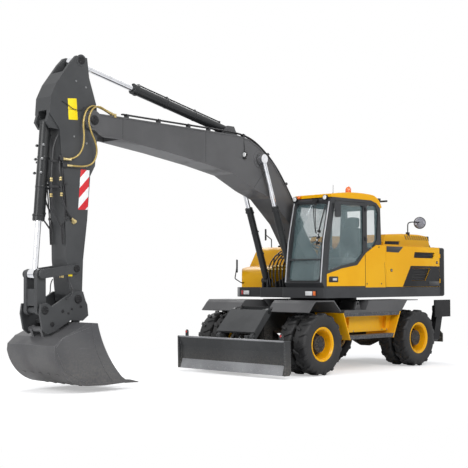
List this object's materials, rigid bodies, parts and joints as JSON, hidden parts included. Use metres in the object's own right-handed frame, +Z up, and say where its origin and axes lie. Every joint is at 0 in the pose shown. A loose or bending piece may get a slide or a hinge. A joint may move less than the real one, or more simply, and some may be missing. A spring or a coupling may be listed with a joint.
{
  "type": "wheeled excavator",
  "caption": "Wheeled excavator with twin-tyred undercarriage, dozer blade, outriggers, slewing cab and body, boom, arm, quick coupler and digging bucket on closed hydraulic linkages.",
  "frame": {"origin": "on the ground under the middle of the whole machine's box, on its centre plane", "axes": "+X forward, towards the blade and the boom; +Y to the machine's left, the cab side; +Z up"},
  "size_m": [9.2964, 2.6245, 4.9275],
  "materials": {
    "yellow_paint": "semi-gloss yellow paint",
    "grey_paint": "semi-gloss mid grey paint",
    "dark_paint": "satin dark grey paint",
    "rim_paint": "orange-yellow wheel paint",
    "rod_chrome": "polished chrome rod",
    "barrel_paint": "grey cylinder paint",
    "bucket_steel": "worn dark paint over steel",
    "casting": "painted casting",
    "tyre_rubber": "matt black rubber",
    "cab_glass": "greenish safety glass",
    "seat_fabric": "dark woven seat cover",
    "black_plastic": "moulded black plastic",
    "lamp_glass": "clear lamp lens over a bright reflector",
    "cab_plastic": "moulded grey plastic"
  },
  "bodies": {
    "root": {"chassis_frame": "dark_paint", "front_axle": "casting", "rear_axle": "casting", "driveline": "casting", "slewing_ring": "casting", "front_fenders": "dark_paint", "side_decks": "dark_paint", "step_boxes": "yellow_paint", "step_treads": "dark_paint"},
    "upper": {"upper_frame": "dark_paint", "counterweight": "dark_paint", "engine": "casting", "body_shell": "yellow_paint", "tank_cover": "yellow_paint", "left_panel": "yellow_paint", "cab_shell": "dark_paint", "cab_roof": "yellow_paint", "cab_glass": "cab_glass", "operator_seat": "seat_fabric", "cab_console": "cab_plastic", "work_lamps": "lamp_glass", "mirrors": "black_plastic"},
    "steer_left": {"knuckle_left": "casting"},
    "wheel_front_left": {"tyres_front_left": "tyre_rubber", "rim_front_left": "rim_paint"},
    "wheel_rear_left": {"tyres_rear_left": "tyre_rubber", "rim_rear_left": "rim_paint"},
    "steer_right": {"knuckle_right": "casting"},
    "wheel_front_right": {"tyres_front_right": "tyre_rubber", "rim_front_right": "rim_paint"},
    "wheel_rear_right": {"tyres_rear_right": "tyre_rubber", "rim_rear_right": "rim_paint"},
    "blade_guard": {"blade_guard_link": "dark_paint"},
    "blade_arms": {"blade_lower_arms": "dark_paint"},
    "blade": {"dozer_blade": "dark_paint"},
    "blade_cylinders": {"blade_cylinders": "barrel_paint"},
    "blade_rods": {"blade_rods": "rod_chrome"},
    "outrigger_left": {"outrigger_leg_left": "dark_paint"},
    "foot_left": {"outrigger_foot_left": "dark_paint"},
    "outrigger_right": {"outrigger_leg_right": "dark_paint"},
    "foot_right": {"outrigger_foot_right": "dark_paint"},
    "cab_door": {"cab_door": "dark_paint", "door_glass": "cab_glass", "door_skin": "yellow_paint"},
    "service_door_left": {"service_door_left": "yellow_paint"},
    "service_door_right": {"service_door_right": "yellow_paint"},
    "hood": {"engine_hood": "yellow_paint"},
    "boom": {"boom": "grey_paint"},
    "boom_cylinders": {"boom_cylinder": "barrel_paint"},
    "boom_rods": {"boom_rod": "rod_chrome"},
    "arm": {"arm": "grey_paint"},
    "arm_cylinder": {"arm_cylinder": "barrel_paint"},
    "arm_rod": {"arm_rod": "rod_chrome"},
    "bucket": {"quick_coupler": "bucket_steel", "bucket": "bucket_steel"},
    "bucket_rocker": {"bucket_rocker": "casting"},
    "bucket_link": {"bucket_link": "casting"},
    "bucket_cylinder": {"bucket_cylinder": "barrel_paint"},
    "bucket_rod": {"bucket_rod": "rod_chrome"}
  },
  "joints": [
    {"name": "steer_left", "type": "hinge", "parent": "root", "child": "steer_left", "pos_m": [-0.385, 0.8, 0.527], "axis": [0, 0, 1], "range_deg": [-25, 25]},
    {"name": "steer_right", "type": "hinge", "parent": "root", "child": "steer_right", "pos_m": [-0.385, -0.8, 0.527], "axis": [0, 0, 1], "range_deg": [-25.5, 25.5]},
    {"name": "wheel_front_left", "type": "hinge", "parent": "steer_left", "child": "wheel_front_left", "pos_m": [-0.385, 0.971, 0.527], "axis": [0, 1, 0], "continuous": true},
    {"name": "wheel_rear_left", "type": "hinge", "parent": "root", "child": "wheel_rear_left", "pos_m": [-3.235, 0.971, 0.527], "axis": [0, 1, 0], "continuous": true},
    {"name": "wheel_front_right", "type": "hinge", "parent": "steer_right", "child": "wheel_front_right", "pos_m": [-0.385, -0.971, 0.527], "axis": [0, 1, 0], "continuous": true},
    {"name": "wheel_rear_right", "type": "hinge", "parent": "root", "child": "wheel_rear_right", "pos_m": [-3.235, -0.971, 0.527], "axis": [0, 1, 0], "continuous": true},
    {"name": "blade_lift", "type": "hinge", "parent": "root", "child": "blade_guard", "pos_m": [0.05, 0, 1.06], "axis": [0, -1, 0], "range_deg": [-12, 46]},
    {"name": "blade_lower", "type": "hinge", "parent": "root", "child": "blade_arms", "pos_m": [0.05, 0, 0.62], "axis": [0, -1, 0], "range_deg": [-12.1, 46.1]},
    {"name": "blade_level", "type": "hinge", "parent": "blade_guard", "child": "blade", "pos_m": [0.44, 0, 0.63], "axis": [0, -1, 0], "range_deg": [-46.1, 12.1]},
    {"name": "blade_cylinder_swing", "type": "hinge", "parent": "root", "child": "blade_cylinders", "pos_m": [-0.02, 0, 1.01], "axis": [0, -1, 0], "range_deg": [-5.7, 21.7]},
    {"name": "blade_rod_slide", "type": "slide", "parent": "blade_cylinders", "child": "blade_rods", "axis": [0.429, 0, -0.9033], "range_m": [-0.1253, 0.0334]},
    {"name": "outrigger_left", "type": "hinge", "parent": "root", "child": "outrigger_left", "pos_m": [-4.11, 1, 0.48], "axis": [-1, 0, 0], "range_deg": [0, 118]},
    {"name": "outrigger_foot_left", "type": "hinge", "parent": "outrigger_left", "child": "foot_left", "pos_m": [-4.11, 1.11, 1.065], "axis": [-1, 0, 0], "range_deg": [-28.2, 0.1]},
    {"name": "outrigger_right", "type": "hinge", "parent": "root", "child": "outrigger_right", "pos_m": [-4.11, -1, 0.48], "axis": [1, 0, 0], "range_deg": [0, 118]},
    {"name": "outrigger_foot_right", "type": "hinge", "parent": "outrigger_right", "child": "foot_right", "pos_m": [-4.11, -1.11, 1.065], "axis": [1, 0, 0], "range_deg": [-28.2, 0.1]},
    {"name": "swing", "type": "hinge", "parent": "root", "child": "upper", "pos_m": [-1.93, 0, 1.302], "axis": [0, 0, 1], "continuous": true},
    {"name": "cab_door", "type": "hinge", "parent": "upper", "child": "cab_door", "pos_m": [-1.57, 1.266, 2.24], "axis": [0, 0, 1], "range_deg": [0, 160]},
    {"name": "service_door_left", "type": "hinge", "parent": "upper", "child": "service_door_left", "pos_m": [-3.954, 1.256, 1.86], "axis": [0, 0, 1], "range_deg": [0, 100]},
    {"name": "service_door_right", "type": "hinge", "parent": "upper", "child": "service_door_right", "pos_m": [-3.954, -1.256, 1.86], "axis": [0, 0, -1], "range_deg": [0, 100]},
    {"name": "hood", "type": "hinge", "parent": "upper", "child": "hood", "pos_m": [-2.585, 0, 2.246], "axis": [0, 1, 0], "range_deg": [0, 60]},
    {"name": "boom_lift", "type": "hinge", "parent": "upper", "child": "boom", "pos_m": [-1.48, 0, 1.8], "axis": [0, -1, 0], "range_deg": [-60, 34]},
    {"name": "boom_cylinder_swing", "type": "hinge", "parent": "upper", "child": "boom_cylinders", "pos_m": [-0.69, 0, 1.6], "axis": [0, -1, 0], "range_deg": [-67.1, 38]},
    {"name": "boom_rod_slide", "type": "slide", "parent": "boom_cylinders", "child": "boom_rods", "axis": [0.3443, 0, 0.9389], "range_m": [-0.6651, 0.3773]},
    {"name": "arm_swing", "type": "hinge", "parent": "boom", "child": "arm", "pos_m": [3.7, 0, 3.97], "axis": [0, 1, 0], "range_deg": [-70, 36]},
    {"name": "arm_cylinder_swing", "type": "hinge", "parent": "boom", "child": "arm_cylinder", "pos_m": [0.69, 0, 4.16], "axis": [0, 1, 0], "range_deg": [-2.9, 1.5]},
    {"name": "arm_rod_slide", "type": "slide", "parent": "arm_cylinder", "child": "arm_rod", "axis": [0.9783, 0, 0.2072], "range_m": [-0.969, 0.4988]},
    {"name": "bucket_curl", "type": "hinge", "parent": "arm", "child": "bucket", "pos_m": [3.98, 0, 1.33], "axis": [0, 1, 0], "range_deg": [-62, 68]},
    {"name": "bucket_rocker_swing", "type": "hinge", "parent": "arm", "child": "bucket_rocker", "pos_m": [3.975, 0, 1.77], "axis": [0, 1, 0], "range_deg": [-60.2, 66.1]},
    {"name": "bucket_link_swing", "type": "hinge", "parent": "bucket_rocker", "child": "bucket_link", "pos_m": [4.56, 0, 1.69], "axis": [0, 1, 0], "range_deg": [-57.2, 52.1]},
    {"name": "bucket_cylinder_swing", "type": "hinge", "parent": "arm", "child": "bucket_cylinder", "pos_m": [4.4, 0, 3.885], "axis": [0, 1, 0], "range_deg": [-3.7, 4]},
    {"name": "bucket_rod_slide", "type": "slide", "parent": "bucket_cylinder", "child": "bucket_rod", "axis": [0.0727, 0, -0.9974], "range_m": [-0.5193, 0.5695]}
  ],
  "couplings": [
    {"joint": "steer_right", "follows": "steer_left", "ratio": 1},
    {"joint": "blade_lower", "follows": "blade_lift", "ratio": 1},
    {"joint": "blade_level", "follows": "blade_lift", "ratio": -1},
    {"joint": "blade_cylinder_swing", "follows": "blade_lift", "ratio": 0.4706},
    {"joint": "blade_rod_slide", "follows": "blade_lift", "m_per_rad": -0.1548},
    {"joint": "outrigger_foot_left", "follows": "outrigger_left", "ratio": -0.2373},
    {"joint": "outrigger_foot_right", "follows": "outrigger_right", "ratio": -0.2373},
    {"joint": "boom_cylinder_swing", "follows": "boom_lift", "ratio": 1.1159},
    {"joint": "boom_rod_slide", "follows": "boom_lift", "m_per_rad": 0.6342},
    {"joint": "arm_cylinder_swing", "follows": "arm_swing", "ratio": 0.0401},
    {"joint": "arm_rod_slide", "follows": "arm_swing", "m_per_rad": 0.7923},
    {"joint": "bucket_rocker_swing", "follows": "bucket_curl", "ratio": 0.97},
    {"joint": "bucket_link_swing", "follows": "bucket_curl", "ratio": -0.8394},
    {"joint": "bucket_cylinder_swing", "follows": "bucket_curl", "ratio": 0.058},
    {"joint": "bucket_rod_slide", "follows": "bucket_curl", "m_per_rad": 0.479}
  ]
}
